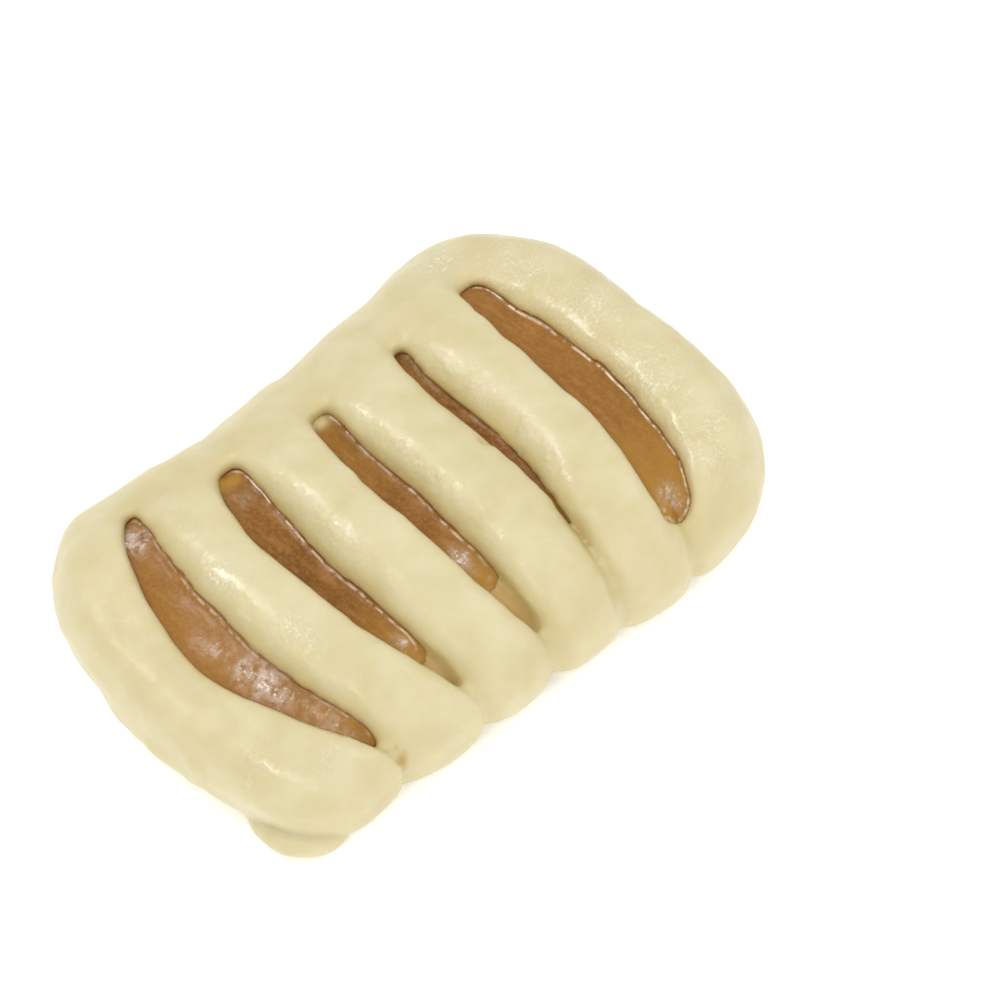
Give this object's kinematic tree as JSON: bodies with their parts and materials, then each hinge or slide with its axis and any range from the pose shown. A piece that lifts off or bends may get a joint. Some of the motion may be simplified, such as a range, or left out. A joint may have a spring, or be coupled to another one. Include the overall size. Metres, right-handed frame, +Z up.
{
  "type": "danish pastry",
  "caption": "Unbaked lattice Danish: a low, rounded jacket of soft dough, slit across the top so that a bed of glossy fruit filling shows between the puffy bars.",
  "frame": {"origin": "middle of the flat underside, on the table the pastry lies on", "axes": "+X along the pastry from bar to bar, towards the wider end; +Y along the slits; +Z up"},
  "size_m": [0.1144, 0.077, 0.0225],
  "materials": {
    "dough": "raw pastry dough, pale cream, soft satin with a slightly moist skin",
    "filling": "cooked fruit filling, caramel brown, wet and glossy"
  },
  "bodies": {
    "root": {"dough": "dough", "filling": "filling"}
  },
  "joints": []
}
